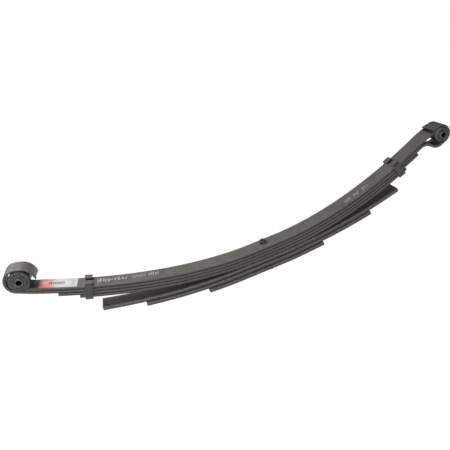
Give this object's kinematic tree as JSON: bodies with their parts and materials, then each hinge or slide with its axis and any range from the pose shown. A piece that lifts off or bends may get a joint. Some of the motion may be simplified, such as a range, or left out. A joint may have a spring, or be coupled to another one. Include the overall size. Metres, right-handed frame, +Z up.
{
  "type": "leaf spring",
  "caption": "Cambered multi-leaf suspension spring with rolled bushed eyes, a wrapper leaf, a helper pack, riveted clips and a centre bolt.",
  "frame": {"origin": "on the top face of the main leaf, at the axis of the centre bolt", "axes": "+X along the spring towards the front eye, +Y across the leaves, +Z up, so the eyes are above the seat"},
  "size_m": [1.2396, 0.07, 0.2953],
  "materials": {
    "main_leaf": "semi-matt dark grey paint over spring steel",
    "wrapper_leaf": "semi-matt dark grey paint over spring steel",
    "third_leaf": "semi-matt dark grey paint over spring steel",
    "fourth_leaf": "semi-matt dark grey paint over spring steel",
    "helper_leaf_upper": "semi-matt dark grey paint over spring steel",
    "helper_leaf_middle": "semi-matt dark grey paint over spring steel",
    "helper_leaf_lower": "semi-matt dark grey paint over spring steel",
    "centre_bolt": "painted with the stack",
    "centre_nut": "painted with the stack",
    "rear_clip": "semi-matt dark grey paint",
    "front_clip": "semi-matt dark grey paint",
    "rear_clip_rivet": "semi-matt dark grey paint",
    "front_clip_rivet": "semi-matt dark grey paint",
    "rear_bush_near": "moulded rubber, dusty",
    "rear_bush_far": "moulded rubber, dusty",
    "front_bush_near": "moulded rubber, dusty",
    "front_bush_far": "moulded rubber, dusty",
    "rear_sleeve": "dull steel tube",
    "front_sleeve": "dull steel tube",
    "label": "red and white sticker with no lettering"
  },
  "bodies": {
    "spring": {"main_leaf": "main_leaf", "wrapper_leaf": "wrapper_leaf", "third_leaf": "third_leaf", "fourth_leaf": "fourth_leaf", "helper_leaf_upper": "helper_leaf_upper", "helper_leaf_middle": "helper_leaf_middle", "helper_leaf_lower": "helper_leaf_lower", "centre_bolt": "centre_bolt", "centre_nut": "centre_nut", "rear_clip": "rear_clip", "front_clip": "front_clip", "rear_clip_rivet": "rear_clip_rivet", "front_clip_rivet": "front_clip_rivet", "rear_bush_near": "rear_bush_near", "rear_bush_far": "rear_bush_far", "front_bush_near": "front_bush_near", "front_bush_far": "front_bush_far", "label": "label"},
    "rear_sleeve": {"rear_sleeve": "rear_sleeve"},
    "front_sleeve": {"front_sleeve": "front_sleeve"}
  },
  "joints": [
    {"name": "rear_eye_twist", "type": "hinge", "parent": "spring", "child": "rear_sleeve", "pos_m": [-0.6163, 0, 0.17429], "axis": [0, 1, 0], "range_deg": [-20, 20], "stiffness_Nm_per_rad": 2},
    {"name": "front_eye_twist", "type": "hinge", "parent": "spring", "child": "front_sleeve", "pos_m": [0.55603, 0, 0.11653], "axis": [0, 1, 0], "range_deg": [-20, 20], "stiffness_Nm_per_rad": 2}
  ]
}
